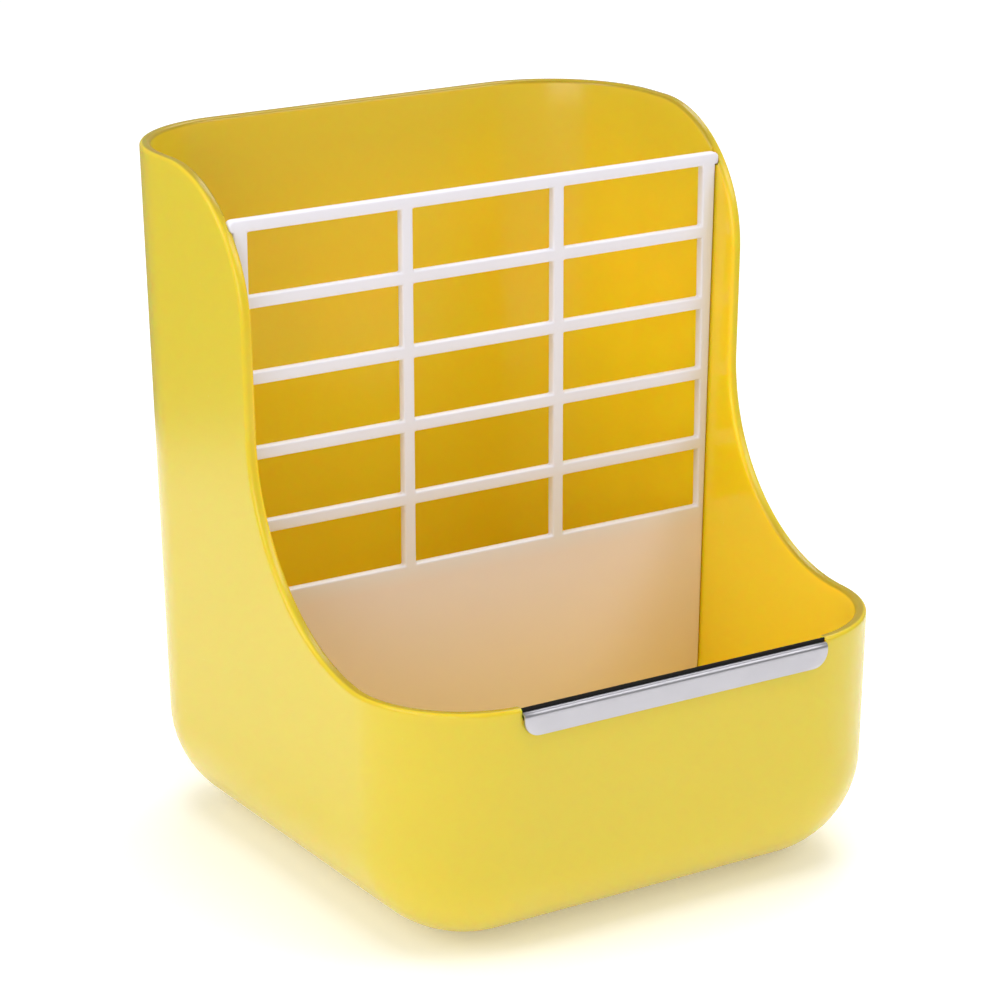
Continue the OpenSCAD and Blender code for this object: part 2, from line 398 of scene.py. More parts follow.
def add_node(tree, kind, settings=None, inputs=None):
    made = tree.nodes.new(kind)
    for name, value in (settings or {}).items():
        setattr(made, name, value)
    for name, value in (inputs or {}).items():
        made.inputs[name].default_value = value
    return made


def noise(tree, place, scale, stretch=(1, 1, 1), detail=3, roughness=0.55):
    """Noise over the object's own coordinates, in cycles per metre, stretched along its axes."""
    mapping = add_node(tree, "ShaderNodeMapping", inputs={"Scale": stretch})
    tree.links.new(place, mapping.inputs["Vector"])
    made = add_node(tree, "ShaderNodeTexNoise",
                    inputs={"Scale": scale, "Detail": detail, "Roughness": roughness})
    tree.links.new(mapping.outputs["Vector"], made.inputs["Vector"])
    return made.outputs["Fac"]


def ramp(tree, value, low, high, start, end):
    """Spreads a value between two limits onto a range of numbers."""
    made = add_node(tree, "ShaderNodeMapRange",
                    inputs={"From Min": low, "From Max": high, "To Min": start, "To Max": end})
    tree.links.new(value, made.inputs["Value"])
    return made.outputs["Result"]


def mix(tree, share, first, second):
    """Colour between two colours, each a fixed colour or an output of a node."""
    made = add_node(tree, "ShaderNodeMix", settings={"data_type": "RGBA"})
    tree.links.new(share, made.inputs["Factor"])
    sockets = [s for s in made.inputs if s.type == "RGBA"]
    for socket, colour in zip(sockets, (first, second)):
        if isinstance(colour, tuple):
            socket.default_value = (*colour, 1)
        else:
            tree.links.new(colour, socket)
    return [s for s in made.outputs if s.type == "RGBA"][0]


def bump(tree, height, depth, below=None):
    """Normal of a height field whose depth is in millimetres."""
    made = add_node(tree, "ShaderNodeBump", inputs={"Strength": 1, "Distance": depth * MM})
    tree.links.new(height, made.inputs["Height"])
    if below is not None:
        tree.links.new(below, made.inputs["Normal"])
    return made.outputs["Normal"]


def surface(name, colours, worn, roughness, mottle, grain, grain_depth, wave_depth, scuff, constants,
            stretch=(1, 1, 1)):
    """Moulded or rolled surface: mottled colour, worn edges, scuffs, fine grain and a slow waviness."""
    material = bpy.data.materials.new(name)
    material.use_nodes = True
    tree = material.node_tree
    shader = tree.nodes["Principled BSDF"]
    for socket, value in constants.items():
        shader.inputs[socket].default_value = value
    place = add_node(tree, "ShaderNodeTexCoord").outputs["Object"]
    edges = add_node(tree, "ShaderNodeNewGeometry").outputs["Pointiness"]
    patches = ramp(tree, noise(tree, place, mottle), *PATCH_LIMITS, 0, 1)
    colour = mix(tree, patches, *colours)
    wear = ramp(tree, edges, *WEAR_LIMITS, 0, WEAR_SHARE)
    colour = mix(tree, wear, colour, worn)
    tree.links.new(colour, shader.inputs["Base Color"])
    streaks = noise(tree, place, scuff, SCUFF_STRETCH, SCUFF_DETAIL, SCUFF_ROUGHNESS)
    tree.links.new(ramp(tree, streaks, *SCUFF_LIMITS, *roughness), shader.inputs["Roughness"])
    slow = bump(tree, noise(tree, place, WAVE_SCALE, detail=1), wave_depth)
    fine = bump(tree, noise(tree, place, grain, stretch), grain_depth, slow)
    tree.links.new(fine, shader.inputs["Normal"])
    return material


def z_of(tree, vector):
    split = add_node(tree, "ShaderNodeSeparateXYZ")
    tree.links.new(vector, split.inputs["Vector"])
    return split.outputs["Z"]


def worked_out(tree, operation, *values):
    """Result of a math node on some values, each a number or an output of a node."""
    made = add_node(tree, "ShaderNodeMath", settings={"operation": operation})
    for socket, value in zip(made.inputs, values):
        if isinstance(value, (int, float)):
            socket.default_value = value
        else:
            tree.links.new(value, socket)
    return made.outputs["Value"]


def tinted(material, tint, low, high):
    """Tint that fades in from one height to another, in millimetres."""
    tree = material.node_tree
    base = tree.nodes["Principled BSDF"].inputs["Base Color"]
    place = add_node(tree, "ShaderNodeTexCoord").outputs["Object"]
    share = ramp(tree, z_of(tree, place), low * MM, high * MM, 0, 1)
    tree.links.new(mix(tree, share, base.links[0].from_socket, tint), base)


def toned(material, outside, rim):
    """Painted shade on the shell: a darker, paler tone on its outside, and a dark tone on its rim where it
    faces up.
    """
    tree = material.node_tree
    base = tree.nodes["Principled BSDF"].inputs["Base Color"]
    place = add_node(tree, "ShaderNodeTexCoord")
    level = add_node(tree, "ShaderNodeVectorMath", settings={"operation": "MULTIPLY"})
    level.inputs[1].default_value = (1, 1, 0)
    tree.links.new(place.outputs["Object"], level.inputs[0])
    product = add_node(tree, "ShaderNodeVectorMath", settings={"operation": "DOT_PRODUCT"})
    tree.links.new(level.outputs["Vector"], product.inputs[0])
    tree.links.new(place.outputs["Normal"], product.inputs[1])
    outward = product.outputs["Value"]
    # Painted shade: faces that look outwards take the outside's darker, paler tone in place of the yellow
    outside_shade_share = ramp(tree, outward, -OUTSIDE_SHADE_FADE * MM, 0, 0, 1)
    colour = mix(tree, outside_shade_share, base.links[0].from_socket, outside)
    # Painted shade on the rim: above a height, faces that look up take the dark rim tone, the more so when
    # they also look inwards
    look = worked_out(tree, "MULTIPLY_ADD", outward, -RIM_SHADE_INWARD, z_of(tree, place.outputs["Normal"]))
    upward = ramp(tree, look, RIM_SHADE_FROM, RIM_SHADE_FULL, 0, 1)
    above = ramp(tree, z_of(tree, place.outputs["Object"]), RIM_SHADE_START * MM, RIM_SHADE_ABOVE * MM, 0, 1)
    rim_shade = worked_out(tree, "MULTIPLY", upward, above)
    tree.links.new(mix(tree, rim_shade, colour, rim), base)


yellow = surface(
    "yellow_plastic", colours=((1.0, 0.72, 0.023), (0.995, 0.71, 0.02)), worn=(0.99, 0.73, 0.05),
    roughness=(0.22, 0.28), mottle=30, grain=900, grain_depth=0.002, wave_depth=0.04, scuff=160,
    constants={"Specular IOR Level": 0.5, "Subsurface Weight": 1.0, "Subsurface Radius": (1.0, 0.45, 0.08),
               "Subsurface Scale": 0.0015})
# Painted shade: the inside grows darker from a height up to the top rim
tinted(yellow, tint=(0.74, 0.555, 0.035), low=INSIDE_SHADE_START, high=SHELL_H)
# Painted shade: a darker, paler copy of the yellow on the outside and a dark tone on the rim
toned(yellow, outside=(0.71, 0.565, 0.03), rim=(0.42, 0.31, 0.015))
white = surface(
    "white_plastic", colours=((0.8, 0.78, 0.84), (0.79, 0.765, 0.825)), worn=(0.81, 0.79, 0.85),
    roughness=(0.3, 0.42), mottle=40, grain=1200, grain_depth=0.004, wave_depth=0.03, scuff=180,
    constants={"Specular IOR Level": 0.5})
# Painted light: a warm tint on the panel below its upper edge stands for yellow light thrown from the tub
tinted(white, tint=(0.83, 0.735, 0.735), low=PANEL_TOP, high=PANEL_TOP - PANEL_BOUNCE_FADE)
clamp_white = surface(
    "clamp_plastic", colours=((0.84, 0.83, 0.85), (0.8, 0.79, 0.81)), worn=(0.9, 0.9, 0.9),
    roughness=(0.4, 0.55), mottle=60, grain=1800, grain_depth=0.008, wave_depth=0.02, scuff=260,
    constants={"Specular IOR Level": 0.5})
steel = surface(
    "polished_steel", colours=((0.53, 0.52, 0.555), (0.51, 0.5, 0.535)), worn=(0.58, 0.57, 0.6),
    roughness=(0.36, 0.42), mottle=60, grain=900, grain_depth=0.001, wave_depth=0.004, scuff=220,
    constants={"Metallic": 1.0}, stretch=(0.04, 1, 1))
black = surface(
    "black_rubber", colours=((0.007, 0.006, 0.005), (0.01, 0.009, 0.008)), worn=(0.014, 0.013, 0.012),
    roughness=(0.6, 0.75), mottle=120, grain=2400, grain_depth=0.006, wave_depth=0.01, scuff=300,
    constants={"Specular IOR Level": 0.2})
zinc = surface(
    "zinc_steel", colours=((0.62, 0.63, 0.66), (0.52, 0.53, 0.57)), worn=(0.75, 0.75, 0.77),
    roughness=(0.28, 0.45), mottle=350, grain=2500, grain_depth=0.004, wave_depth=0.005, scuff=400,
    constants={"Metallic": 1.0})


# Shell

def side_rim():
    """Places along a side wall's rim from front to back: Y, Z and the direction into the wall."""
    places = []
    for a in steps(0, 90, SWEEP_STEPS)[:-1]:
        y = math.sin(math.radians(a))
        z = -math.cos(math.radians(a))
        places.append((SWEEP_Y + SWEEP_R * y, SWEEP_Z + SWEEP_R * z, y, z))
    for z in steps(SWEEP_Z, SHOULDER_Z, UPRIGHT_STEPS)[:-1]:
        places.append((EDGE_Y, z, 1, 0))
    for a in steps(180, 90, SHOULDER_STEPS):
        y = math.cos(math.radians(a))
        z = math.sin(math.radians(a))
        places.append((SHOULDER_Y + SHOULDER_R * y, SHOULDER_Z + SHOULDER_R * z, -y, -z))
    for y in steps(SHOULDER_Y, AXIS_Y, TOP_STEPS)[1:]:
        places.append((y, SHELL_H, 0, -1))
    return [p for p in places if p[0] >= -AXIS_Y]


def side_feet(rim):
    """Place along Y of each column's foot. Columns lean back so that none crosses another."""
    lengths = [0]
    for a, b in zip(rim, rim[1:]):
        lengths.append(lengths[-1] + math.hypot(b[0] - a[0], b[1] - a[1]))
    upright = lengths[[p[2] for p in rim].index(1)] + SHOULDER_Z - SWEEP_Z
    feet = []
    for place, length in zip(rim, lengths):
        if length < upright:
            share = smoothstep(length / upright)
        else:
            share = (AXIS_Y - place[0]) / (AXIS_Y - EDGE_Y)
        feet.append(place[0] + COLUMN_LEAN * share)
    return feet


class Column:
    """One upright line over the shell: its corner axis and direction in plan, its foot and its rim."""

    def __init__(self, axis, direction, foot_y, rim_y, rim_z, inward):
        self.axis_x = axis
        self.direction = direction
        self.foot_y = foot_y
        self.rim_y = rim_y
        self.rim_z = rim_z
        self.inward = inward

    def place(self, y, radius, z):
        return self.axis_x + self.direction[0] * radius, y + self.direction[1] * radius, z

    def foot(self, inset, angle):
        fillet = FOOT_R - inset
        radius = FOOT_AXIS + fillet * math.sin(angle)
        return self.place(self.foot_y, radius, FOOT_R - fillet * math.cos(angle))

    def skin(self, inset, depth, share):
        """Point of the skin at an inset, part of the way from the foot to a depth below the rim."""
        foot_z = FOOT_R - (FOOT_R - inset) * SIN_DRAFT
        y = lerp(self.foot_y, self.rim_y + self.inward[0] * depth, share)
        z = lerp(foot_z, self.rim_z + self.inward[1] * depth, share)
        return self.place(y, reach(z) - inset / COS_DRAFT, z)


def shell_columns():
    """Columns once round the shell, counter-clockwise from the middle of the front."""
    down = (0, -1)
    rim = side_rim()
    feet = side_feet(rim)
    half = []
    for x in steps(0, AXIS_X, FLAT_STEPS)[:-1]:
        half.append(Column(x, (0, -1), -AXIS_Y, -AXIS_Y, FRONT_H, down))
    for a in steps(-90, 0, CORNER_STEPS)[:-1]:
        turn = (math.cos(math.radians(a)), math.sin(math.radians(a)))
        half.append(Column(AXIS_X, turn, -AXIS_Y, -AXIS_Y, FRONT_H, down))
    half.append(Column(AXIS_X, (1, 0), -AXIS_Y, -AXIS_Y, FRONT_H, down))
    for (y, z, in_y, in_z), foot in list(zip(rim, feet))[1:]:
        half.append(Column(AXIS_X, (1, 0), foot, y, z, (in_y, in_z)))
    for a in steps(0, 90, CORNER_STEPS)[1:]:
        turn = (math.cos(math.radians(a)), math.sin(math.radians(a)))
        half.append(Column(AXIS_X, turn, AXIS_Y, AXIS_Y, SHELL_H, down))
    for x in steps(AXIS_X, 0, FLAT_STEPS)[1:]:
        half.append(Column(x, (0, 1), AXIS_Y, AXIS_Y, SHELL_H, down))
    mirrored = [Column(-c.axis_x, (-c.direction[0], c.direction[1]), c.foot_y, c.rim_y, c.rim_z, c.inward)
                for c in reversed(half[1:-1])]
    return half + mirrored


def edge_turns(radius, segments=5):
    """Insets and depths of a rounded edge, from the side to the face."""
    return [(radius * (1 - math.cos(a)), radius * (1 - math.sin(a))) for a in steps(0, math.pi / 2, segments)]


def shell_tub():
    """Walls, floor and rounded rim, as rings from the base over the rim to the floor inside."""
    columns = shell_columns()
    foot = steps(0, math.pi / 2 - DRAFT, FOOT_STEPS)
    rows = []
    for angle in foot:
        rows.append([c.foot(0, angle) for c in columns])
    for share in steps(0, 1, WALL_STEPS)[1:]:
        rows.append([c.skin(0, RIM_OUTER_R, share) for c in columns])
    for inset, depth in edge_turns(RIM_OUTER_R, RIM_OUTER_STEPS)[1:]:
        rows.append([c.skin(inset, depth, 1) for c in columns])
    for inset, depth in reversed(edge_turns(RIM_INNER_R, RIM_INNER_STEPS)):
        rows.append([c.skin(WALL - inset, depth, 1) for c in columns])
    for share in steps(1, 0, WALL_STEPS)[1:]:
        rows.append([c.skin(WALL, RIM_INNER_R, share) for c in columns])
    for angle in reversed(foot[:-1]):
        rows.append([c.foot(WALL, angle) for c in columns])
    return new_mesh("shell_body", *loft(rows))


def round_rect(width, height, radius, grow=0, segments=10):
    """Outline of a rectangle with round corners and divided sides, grown outwards by a distance."""
    arcs = []
    for corner in range(4):
        sign_x = (1, -1, -1, 1)[corner]
        sign_z = (1, 1, -1, -1)[corner]
        arc = []
        for a in steps(90 * corner, 90 * (corner + 1), segments):
            x = sign_x * (width / 2 - radius) + (radius + grow) * math.cos(math.radians(a))
            z = sign_z * (height / 2 - radius) + (radius + grow) * math.sin(math.radians(a))
            arc.append((x, z))
        arcs.append(arc)
    outline = []
    for arc, following in zip(arcs, arcs[1:] + arcs[:1]):
        outline += arc
        for s in steps(0, 1, segments)[1:-1]:
            outline.append((lerp(arc[-1][0], following[0][0], s), lerp(arc[-1][1], following[0][1], s)))
    return outline


def on_clamp(side, outline, y):
    """Outline set on a clamp's axis at a place along Y."""
    return [(side * CLAMP_X + x, y, CLAMP_Z + z) for x, z in outline]


def boss(side):
    """Pad on the back wall with a flared foot and a rounded face."""
    rings = []
    flare = [(BOSS_FLARE_R, -WALL / 2)]
    for inset, depth in edge_turns(BOSS_FLARE_R):
        flare.append((depth, inset))
    for grow, rise in flare:
        ring = []
        for x, z in round_rect(BOSS_W, BOSS_H, BOSS_CORNER_R, grow):
            ring.append((side * CLAMP_X + x, outer_y(CLAMP_Z + z) + rise, CLAMP_Z + z))
        rings.append(ring)
    for inset, depth in edge_turns(BOSS_EDGE_R):
        rings.append(on_clamp(side, round_rect(BOSS_W, BOSS_H, BOSS_CORNER_R, -inset), BOSS_FACE - depth))
    return new_mesh("boss", *loft(rings))


def circle(radius, count=48):
    return [(radius * math.cos(a), radius * math.sin(a)) for a in steps(0, 2 * math.pi, count)[:-1]]


def stud_seat(side):
    outline = circle(STUD_R)
    rings = [on_clamp(side, outline, y) for y in (STUD_START, BOSS_FACE + CLEAR)]
    return new_mesh("stud_seat", *loft(rings))


def floor_rib(side, face):
    middle = GRID_Y + face * ((GRID_T + RIB_T) / 2 + RIB_GAP)
    low = (side * RIB_X - RIB_L / 2, middle - RIB_T / 2, WALL / 2)
    high = (side * RIB_X + RIB_L / 2, middle + RIB_T / 2, WALL + RIB_H)
    return soft_box("floor_rib", low, high, RIB_EDGE_R)


def rest_seat(side):
    """Seat in the inner edge of a side rim, open at the top, that takes an end of the grid's top bar."""
    half = GRID_T / 2 + REST_GAP
    bottom = REST_Z - REST_GAP
    front = GRID_Y - half
    back = GRID_Y + half
    outline = [(front, bottom), (back, bottom), (back, SHELL_H), (front, SHELL_H)]
    start = side * (inner_x(REST_Z) - WALL)
    return prism("rest_seat", outline, along_x, start, side * (REST_TIP + REST_GAP))


def at_front_rim(point):
    """Point of the frame on the front rim's outer edge, which leans with the front wall."""
    x, y, z = point
    return (x, y * COS_DRAFT - z * SIN_DRAFT - outer_y(FRONT_H), y * SIN_DRAFT + z * COS_DRAFT + FRONT_H)


def on_front_rim(point, length):
    return at_front_rim((length, point[0], point[1]))


def rim_step():
    half = GUARD_L / 2 + LINER_GAP
    start = -CLEAR
    end = WALL + CLEAR
    outline = [(start, -RIM_NOTCH), (end, -RIM_NOTCH), (end, CLEAR), (start, CLEAR)]
    return prism("rim_step", outline, on_front_rim, -half, half)


sides = (-1, 1)
shell_mesh = shell_tub()
added = [boss(side) for side in sides]
added += [floor_rib(side, face) for side in sides for face in sides]
shell_mesh = combined(shell_mesh, added, "UNION")
removed = [rim_step()]
removed += [rest_seat(side) for side in sides]
removed += [stud_seat(side) for side in sides]
shell_mesh = combined(shell_mesh, removed, "DIFFERENCE")
add_piece("shell_body", shell_mesh, "shell", yellow, "shell")


# Grid

def grid_lattice():
    """Stiles, bars and solid lower panel, cut from one sheet and rounded along every edge."""
    columns = (WINDOW_OUTER, WINDOW_INNER + STILE_W, WINDOW_INNER)
    levels = [PANEL_TOP]
    for row in range(WINDOW_ROWS - 1, -1, -1):
        bar = TOP_BAR if row == 0 else BAR_H
        middle = GRID_TOP - TOP_BAR / 2 - row * BAR_PITCH
        levels += [middle - bar / 2, middle + bar / 2]
    points = []
    for z in levels:
        across = [-grid_x(z), *(-x for x in columns), *reversed(columns), grid_x(z)]
        points += [(x, z) for x in across]
    width = 2 * len(columns) + 2
    faces = []
    for row in range(len(levels) - 1):
        for column in range(width - 1):
            window = row % 2 == 0 and column % 2 == 1
            if not window:
                a = row * width + column
                faces.append((a, a + 1, a + 1 + width, a + width))
    fillet = FOOT_R - WALL - GRID_GAP
    first = len(points)
    for a in steps(-DRAFT, -math.pi / 2, GRID_FOOT_STEPS):
        points.append((AXIS_X + FOOT_AXIS + fillet * math.cos(a), FOOT_R + fillet * math.sin(a)))
    right = list(range(first, len(points)))
    for index in reversed(right):
        points.append((-points[index][0], points[index][1]))
    faces.append(tuple(reversed(range(width))) + tuple(reversed(range(first, len(points)))))
    front = GRID_Y - GRID_T / 2
    mesh = bpy.data.meshes.new("grid_lattice")
    mesh.from_pydata([(x * MM, front * MM, z * MM) for x, z in points], [], faces)
    made = bmesh.new()
    made.from_mesh(mesh)
    bmesh.ops.recalc_face_normals(made, faces=made.faces)
    extruded = bmesh.ops.extrude_face_region(made, geom=made.faces[:], use_keep_orig=True)
    moved = [g for g in extruded["geom"] if isinstance(g, bmesh.types.BMVert)]
    bmesh.ops.translate(made, verts=moved, vec=(0, GRID_T * MM, 0))
    bmesh.ops.recalc_face_normals(made, faces=made.faces)
    made.to_mesh(mesh)
    made.free()
    return bevelled(mesh, GRID_EDGE_R)


def grid_rest(side):
    """End of the top bar, with a round upper corner, that rests on the rim."""
    start = grid_x(REST_Z) - SIDE_STILE_W
    bottom = REST_Z + REST_HAIR
    top = GRID_TOP - REST_HAIR
    outline = [(side * start, top), (side * start, bottom), (side * REST_TIP, bottom)]
    for a in steps(0, 90, REST_STEPS):
        x = REST_TIP - REST_CORNER_R + REST_CORNER_R * math.cos(math.radians(a))
        z = top - REST_CORNER_R + REST_CORNER_R * math.sin(math.radians(a))
        outline.append((side * x, z))
    half = GRID_T / 2 - REST_HAIR
    return bevelled(prism("grid_rest", outline, along_y, GRID_Y - half, GRID_Y + half), REST_EDGE_R)


grid_mesh = combined(grid_lattice(), [grid_rest(side) for side in sides], "UNION")
add_piece("grid_lattice", grid_mesh, "grid", white, "hay_grid")


# Bite guard

def guard_strip():
    """Folded strip with round lower corners, as two skins joined along their edges."""
    face = LINER_T + GUARD_T
    bend_y = GUARD_BEND - face
    rows = []
    for a in steps(0, 90, GUARD_CORNER_STEPS):
        rows.append((-face, -GUARD_DROP + GUARD_CORNER - GUARD_CORNER * math.cos(math.radians(a)), -1, 0,
                     GUARD_L / 2 - GUARD_CORNER + GUARD_CORNER * math.sin(math.radians(a))))
    for a in steps(180, 90, GUARD_BEND_STEPS):
        y = math.cos(math.radians(a))
        z = math.sin(math.radians(a))
        rows.append((bend_y + GUARD_BEND * y, -GUARD_BEND + GUARD_BEND * z, y, z, GUARD_L / 2))
    rows.append((bend_y + GUARD_LIP, 0, 0, 1, GUARD_L / 2))
    points = []
    for thickness in (0, GUARD_T):
        for y, z, out_y, out_z, half in rows:
            for x in steps(-half, half, GUARD_COLUMNS):
                points.append(at_front_rim((x, y - out_y * thickness, z - out_z * thickness - GUARD_SINK)))
    width = GUARD_COLUMNS + 1
    skin = len(rows) * width
    faces = []
    for row in range(len(rows) - 1):
        for k in range(GUARD_COLUMNS):
            a = row * width + k
            faces.append((a, a + 1, a + 1 + width, a + width))
            faces.append((skin + a, skin + a + width, skin + a + 1 + width, skin + a + 1))
        for k in (0, GUARD_COLUMNS):
            a = row * width + k
            faces.append((a, a + width, skin + a + width, skin + a))
    for row in (0, len(rows) - 1):
        for k in range(GUARD_COLUMNS):
            a = row * width + k
            faces.append((a, a + 1, skin + a + 1, skin + a))
    return bevelled(new_mesh("guard_strip", points, faces), GUARD_EDGE_R, 2, 50)


def liner_strip():
    """Black strip behind and under the steel, which shows as a dark line along the top of the rim."""
    square = GUARD_DROP - GUARD_CORNER
    bend_y = GUARD_BEND - LINER_T - GUARD_T
    lip_y = bend_y + GUARD_LIP
    back = WALL - LINER_GAP
    outline = [
        (-LINER_T, -GUARD_SINK - square), (-LINER_T, -GUARD_SINK - GUARD_BEND),
        (bend_y, -GUARD_SINK - GUARD_T), (lip_y, -GUARD_SINK - GUARD_T),
        (lip_y, 0), (lip_y + LINER_CREST, 0), (back, -LINER_FALL),
        (back, -RIM_NOTCH), (0, -RIM_NOTCH), (0, -GUARD_SINK - square),
    ]
    half = GUARD_L / 2
    upper = bevelled(prism("liner_strip", outline, on_front_rim, -half, half), LINER_EDGE_R, 2)
    foot = LINER_GAP - GUARD_DROP - GUARD_SINK
    head = LINER_OVERLAP - square - GUARD_SINK
    lower_outline = [(-LINER_T, foot), (-LINER_T, head), (0, head), (0, foot)]
    lower_half = half - GUARD_CORNER
    lower = prism("liner_lower", lower_outline, on_front_rim, -lower_half, lower_half)
    return combined(upper, [lower], "UNION")


add_piece("guard_strip", guard_strip(), "shell", steel, "bite_guard")
add_piece("liner_strip", liner_strip(), "shell", black, "guard_liner")


# Cage clamps

def threaded_stud(side):
    """Stud with a right-hand thread and a chamfered tip."""
    length = STUD_TIP - STUD_START
    rings = []
    for y in steps(0, length, round(length / THREAD_PITCH * THREAD_STEPS)):
        limit = STUD_R - max(0, y - (length - STUD_CHAMFER))
        ring = []
        for k in range(THREAD_POINTS):
            turn = 2 * math.pi * k / THREAD_POINTS
            phase = (y / THREAD_PITCH - k / THREAD_POINTS) % 1
            groove = min(1, max(0, THREAD_SLOPE * abs(phase - 0.5) - THREAD_CREST))
            radius = min(STUD_R - THREAD_DEPTH * groove, limit)
            ring.append((side * CLAMP_X + radius * math.sin(turn), STUD_START + y,
                         CLAMP_Z + radius * math.cos(turn)))
        rings.append(ring)
    return new_mesh("threaded_stud", *loft(rings))


def clamp_plate(side):
    """Plate with rounded edges, a bore and two ribs that bear on the wire."""
    outline = round_rect(BOSS_W, BOSS_H, BOSS_CORNER_R)
    angles = [math.atan2(z, x) for x, z in outline]
    bore_r = STUD_R + PLATE_BORE_GAP
    bore = [(bore_r * math.cos(a), bore_r * math.sin(a)) for a in angles]
    rings = [on_clamp(side, bore, PLATE_START)]
    turns = edge_turns(PLATE_EDGE_R, PLATE_EDGE_STEPS)
    for inset, depth in reversed(turns):
        rings.append(on_clamp(side, round_rect(BOSS_W, BOSS_H, BOSS_CORNER_R, -inset), PLATE_START + depth))
    for inset, depth in turns:
        rings.append(on_clamp(side, round_rect(BOSS_W, BOSS_H, BOSS_CORNER_R, -inset),
                              PLATE_START + PLATE_T - depth))
    rings.append(on_clamp(side, bore, PLATE_START + PLATE_T))
    plate = new_mesh("clamp_plate", *loft(rings, loop=True))
    half = BOSS_W / 2 - BOSS_CORNER_R
    ribs = []
    for end in sides:
        z = CLAMP_Z + end * (BOSS_H / 2 - BOSS_CORNER_R)
        low = (side * CLAMP_X - half, PLATE_START - PLATE_RIB_H, z - PLATE_RIB_W / 2)
        high = (side * CLAMP_X + half, PLATE_START + PLATE_T / 2, z + PLATE_RIB_W / 2)
        ribs.append(soft_box("plate_rib", low, high, PLATE_RIB_EDGE_R))
    return combined(plate, ribs, "UNION")


def knob_outline(inset):
    """Core and lobes as one outline, blended where they meet."""
    outline = []
    for k in range(KNOB_POINTS):
        turn = 2 * math.pi * k / KNOB_POINTS
        off = (turn + math.pi / KNOB_LOBES) % (2 * math.pi / KNOB_LOBES) - math.pi / KNOB_LOBES
        under = KNOB_LOBE_R ** 2 - (KNOB_CORE_R * math.sin(off)) ** 2
        lobe = KNOB_CORE_R * math.cos(off) + math.sqrt(under) if under > 0 else 0
        radius = max(KNOB_CORE_R, lobe)
        if lobe > 0:
            share = max(0, KNOB_BLEND - abs(lobe - KNOB_CORE_R)) / KNOB_BLEND
            radius += share * share * KNOB_BLEND / 4
        radius = min(radius, KNOB_CORE_R + KNOB_LOBE_R) - inset
        outline.append((radius * math.cos(turn), radius * math.sin(turn)))
    return outline


def hexagon(corner_r):
    """Hexagon with the knob's number of points, from the reach of its corners."""
    outline = []
    for k in range(KNOB_POINTS):
        turn = 2 * math.pi * k / KNOB_POINTS
        off = turn % (math.pi / 3) - math.pi / 6
        radius = corner_r * math.cos(math.pi / 6) / math.cos(off)
        outline.append((radius * math.cos(turn), radius * math.sin(turn)))
    return outline


def clamp_knob(side):
    """Hand knob with rounded lobes, a dished face, a bore and a seat for its nut."""
    end = KNOB_START + KNOB_L
    seat = hexagon(NUT_SEAT_R)
    bore = circle(STUD_R + KNOB_BORE_GAP, KNOB_POINTS)
    mouth = circle(STUD_R + KNOB_BORE_GAP + KNOB_DISH, KNOB_POINTS)
    dish_r = KNOB_CORE_R - KNOB_DISH_INSET
    rings = [on_clamp(side, seat, KNOB_START + NUT_T), on_clamp(side, seat, KNOB_START)]
    for inset, depth in reversed(edge_turns(KNOB_FOOT_R, KNOB_FOOT_STEPS)):
        rings.append(on_clamp(side, knob_outline(inset), KNOB_START + depth))
    for inset, depth in edge_turns(KNOB_EDGE_R, KNOB_EDGE_STEPS):
        rings.append(on_clamp(side, knob_outline(inset), end - depth))
    rings.append(on_clamp(side, circle(dish_r, KNOB_POINTS), end - KNOB_FALL))
    rings.append(on_clamp(side, circle(dish_r - KNOB_DISH_SLOPE, KNOB_POINTS), end - KNOB_DISH))
    rings.append(on_clamp(side, mouth, end - KNOB_DISH))
    rings.append(on_clamp(side, bore, end - 2 * KNOB_DISH))
    rings.append(on_clamp(side, bore, KNOB_START + NUT_T))
    return new_mesh("clamp_knob", *loft(rings, loop=True))


for side, hand in ((-1, "left"), (1, "right")):
    add_piece(f"stud_{hand}", threaded_stud(side), "shell", zinc, f"clamp_stud_{hand}",
              STUD_SHARP)
    add_piece(f"press_plate_{hand}", clamp_plate(side), f"plate_{hand}", clamp_white,
              f"clamp_plate_{hand}")
    add_piece(f"hand_knob_{hand}", clamp_knob(side), f"knob_{hand}", clamp_white,
              f"clamp_knob_{hand}")
    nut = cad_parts[f"clamp_nut_{hand}"]
    nut.data.materials.clear()
    nut.data.materials.append(zinc)


# Stage

def stage_floor():
    """Pale floor. Its far part doesn't show in glossy surfaces, as round a small table in a dim room."""
    inner = [(x, y, 0) for x, y in circle(TABLE_R, FLOOR_POINTS)]
    outer = [(x, y, 0) for x, y in circle(FLOOR_R, FLOOR_POINTS)]
    table = new_mesh("floor_near", inner, [tuple(range(FLOOR_POINTS))])
    ring = []
    for k in range(FLOOR_POINTS):
        following = (k + 1) % FLOOR_POINTS
        ring.append((k, following, FLOOR_POINTS + following, FLOOR_POINTS + k))
    room = new_mesh("floor_far", inner + outer, ring)
    material = bpy.data.materials.new("floor")
    material.use_nodes = True
    shader = material.node_tree.nodes["Principled BSDF"]
    shader.inputs["Base Color"].default_value = (*FLOOR_TONE, 1)
    shader.inputs["Roughness"].default_value = FLOOR_ROUGHNESS
    shader.inputs["Emission Color"].default_value = (1, 1, 1, 1)
    shader.inputs["Emission Strength"].default_value = FLOOR_GLOW
    for mesh in (table, room):
        mesh.materials.append(material)
        floor = bpy.data.objects.new(mesh.name, mesh)
        floor.visible_glossy = mesh == table
        bpy.context.scene.collection.objects.link(floor)


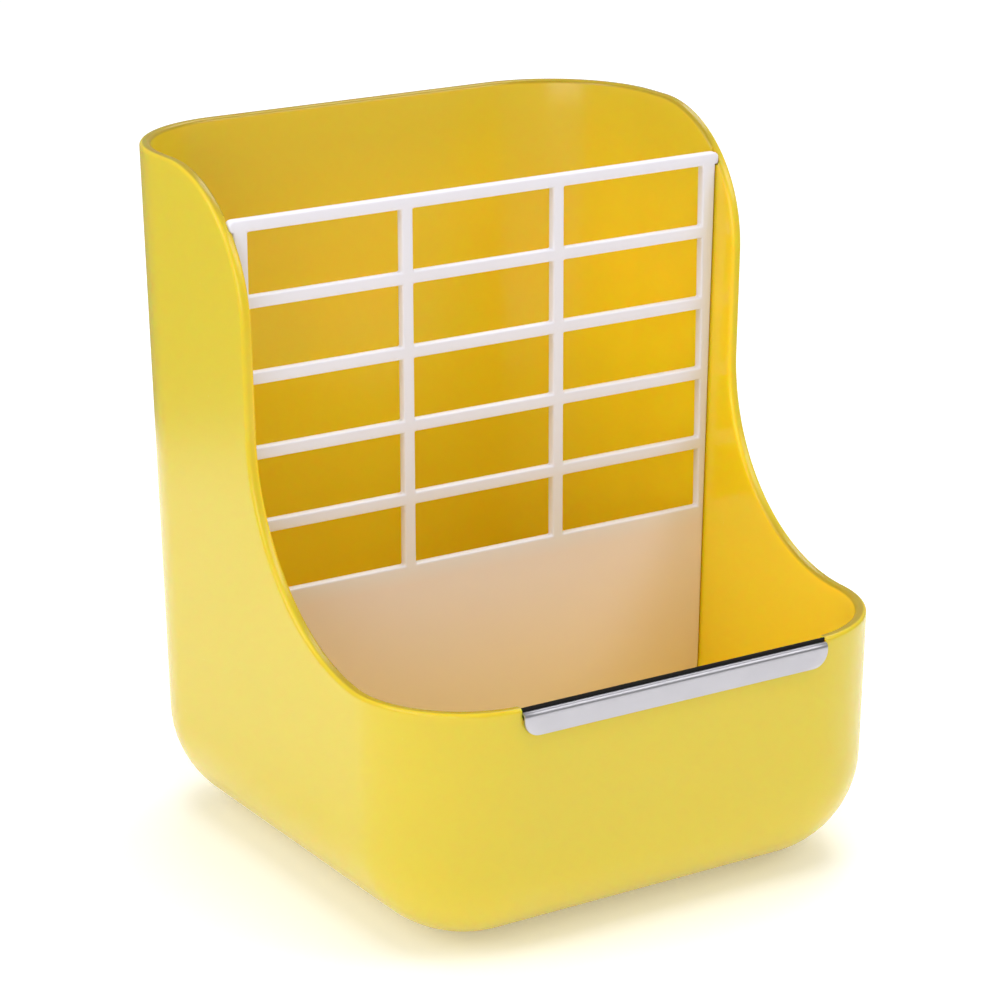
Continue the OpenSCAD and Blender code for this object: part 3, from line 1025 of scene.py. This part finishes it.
def area_light(name, place, aim, size, power, mirrored=True):
    """Soft box, in metres and watts, which shows in glossy surfaces when mirrored is set."""
    data = bpy.data.lights.new(name, "AREA")
    data.shape = "RECTANGLE"
    data.size = size[0]
    data.size_y = size[1]
    data.energy = power
    light = bpy.data.objects.new(name, data)
    light.visible_glossy = mirrored
    light.location = place
    light.rotation_euler = (Vector(aim) - Vector(place)).to_track_quat("-Z", "Y").to_euler()
    bpy.context.scene.collection.objects.link(light)


def studio_world():
    """Plain grey room around the soft boxes."""
    world = bpy.data.worlds.new("studio")
    world.use_nodes = True
    background = world.node_tree.nodes["Background"]
    background.inputs["Color"].default_value = (1, 1, 1, 1)
    background.inputs["Strength"].default_value = ROOM_STRENGTH
    bpy.context.scene.world = world


def photo_camera():
    """Camera that puts the target at its pixel, with the image's middle as its own."""
    azimuth = math.radians(CAMERA_AZIMUTH)
    elevation = math.radians(CAMERA_ELEVATION)
    back = Vector((math.sin(azimuth) * math.cos(elevation), -math.cos(azimuth) * math.cos(elevation),
                   math.sin(elevation)))
    level = (-back).cross(Vector((0, 0, 1))).normalized()
    upright = level.cross(-back)
    roll = math.radians(CAMERA_ROLL)
    right = math.cos(roll) * level + math.sin(roll) * upright
    up = math.cos(roll) * upright - math.sin(roll) * level
    per_pixel = CAMERA_DISTANCE / CAMERA_FOCUS_PIXELS
    middle = IMAGE_PIXELS / 2
    place = Vector((0, 0, CAMERA_TARGET_Z)) + CAMERA_DISTANCE * back
    place -= (TARGET_PIXEL[0] - middle) * per_pixel * right
    place += (TARGET_PIXEL[1] - middle) * per_pixel * up
    data = bpy.data.cameras.new("camera")
    data.sensor_width = SENSOR_MM
    data.sensor_fit = "HORIZONTAL"
    data.lens = CAMERA_FOCUS_PIXELS / IMAGE_PIXELS * SENSOR_MM
    data.clip_start = NEAR_CLIP_M
    camera = bpy.data.objects.new("camera", data)
    turn = Matrix((right, up, back)).transposed().to_4x4()
    camera.matrix_world = Matrix.Translation(place * MM) @ turn
    bpy.context.scene.collection.objects.link(camera)
    bpy.context.scene.camera = camera


stage_floor()
studio_world()
area_light("top", place=(0.0, -0.1, 1.3), aim=(0, 0, 0.1), size=(1.0, 1.0), power=9.2, mirrored=False)
area_light("left", place=(-1.05, 0.0, 0.9), aim=(0, 0, 0.08), size=(0.9, 0.9), power=5.5)
area_light("left_front", place=(-1.0, -0.9, 0.4), aim=(0, 0, 0.08), size=(0.9, 0.6), power=4.1)
area_light("right_front", place=(0.66, -0.7, 0.88), aim=(0, 0, 0.06), size=(0.45, 0.65), power=2.8)
area_light("right_back", place=(0.66, 0.4, 1.05), aim=(0, 0, 0.06), size=(0.5, 0.6), power=2.6)
area_light("back", place=(0.55, 0.95, 1.2), aim=(0.55, 0.95, 0), size=(0.8, 0.8), power=6, mirrored=False)
photo_camera()
bpy.context.scene.view_settings.view_transform = "Standard"
